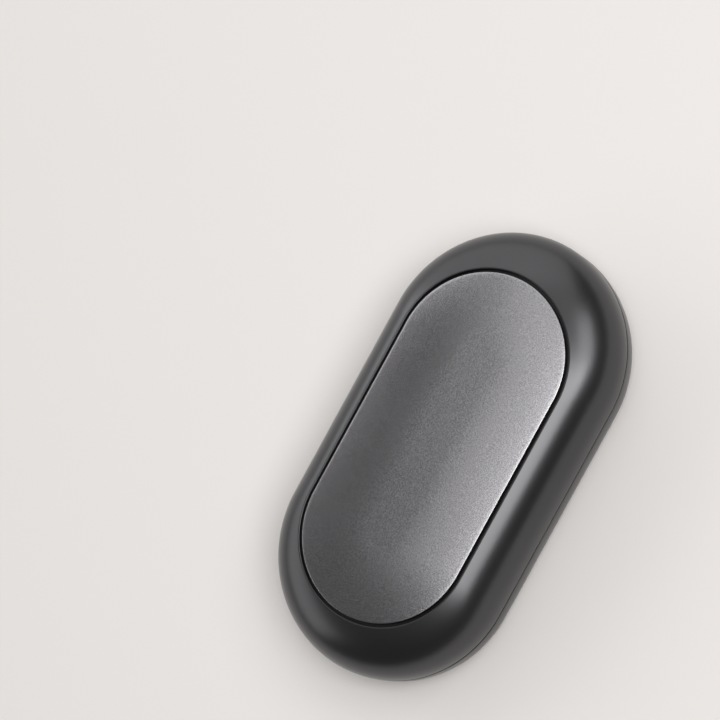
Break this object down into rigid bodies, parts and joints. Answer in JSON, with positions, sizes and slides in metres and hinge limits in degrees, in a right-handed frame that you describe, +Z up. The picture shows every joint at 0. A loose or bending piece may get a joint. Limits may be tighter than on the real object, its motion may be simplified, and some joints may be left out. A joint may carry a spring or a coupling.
{
  "type": "electric hand warmer",
  "caption": "Pill-shaped rechargeable pocket hand warmer with a soft bull-nosed rim, an inset metal heat plate, a charging port and a power button with charge lights.",
  "frame": {"origin": "centre of the flat back that the unit rests on, under the middle of the body", "axes": "+X across the body, +Y along it towards the power button end, +Z up out of the heat plate"},
  "size_m": [0.0516, 0.0978, 0.0203],
  "materials": {
    "casing": "satin, lightly textured",
    "plate": "fine bead-blasted, dark anodised",
    "button": "satin",
    "light_pipe": "milky, glossy",
    "light_chip": "satin",
    "socket_steel": "drawn, satin",
    "black_plastic": "moulded, matte",
    "white_plastic": "moulded, matte",
    "board": "lacquered laminate",
    "chip": "matte moulding",
    "ferrite": "matte, pressed powder",
    "cell_foil": "satin pouch foil",
    "nickel": "rolled strip",
    "foam": "soft foam",
    "tape": "adhesive foam",
    "film": "glossy film",
    "screw_steel": "blackened, satin",
    "red_wire": "smooth insulation",
    "black_wire": "smooth insulation",
    "white_wire": "smooth insulation"
  },
  "bodies": {
    "housing": {"back_shell": "casing", "battery_cell": "cell_foil", "battery_lead_black": "black_wire", "battery_lead_red": "red_wire", "battery_plug": "white_plastic", "battery_socket": "white_plastic", "board_harness": "black_wire", "board_screw_1": "screw_steel", "board_screw_2": "screw_steel", "board_screw_3": "screw_steel", "board_screw_4": "screw_steel", "button_board": "board", "button_harness_socket": "white_plastic", "case_screw_1": "screw_steel", "case_screw_2": "screw_steel", "case_screw_3": "screw_steel", "case_screw_4": "screw_steel", "cell_guard_board": "board", "cell_tab_negative": "nickel", "cell_tab_positive": "nickel", "charge_light_1": "light_chip", "charge_light_2": "light_chip", "charge_light_3": "light_chip", "charge_light_4": "light_chip", "charger_chip": "chip", "controller_chip": "chip", "front_shell": "casing", "heat_plate": "plate", "heater_film": "film", "heater_lead_left": "red_wire", "heater_lead_right": "red_wire", "heater_socket": "white_plastic", "insulation_pad": "foam", "light_pipe": "light_pipe", "lower_cell_pad": "foam", "main_board": "board", "main_harness_socket": "white_plastic", "plate_tape": "tape", "power_inductor": "ferrite", "sensor_lead": "white_wire", "socket_shell": "socket_steel", "socket_tongue": "black_plastic", "switch_body": "black_plastic", "temperature_sensor": "chip", "upper_cell_pad": "foam"},
    "power_button": {"button_cap": "button", "switch_plunger": "white_plastic"}
  },
  "joints": [
    {"name": "power_button_press", "type": "slide", "parent": "housing", "child": "power_button", "axis": [0, -1, 0], "range_m": [0, 0.0005], "stiffness_N_per_m": 2000, "springref_m": -0.0003}
  ]
}
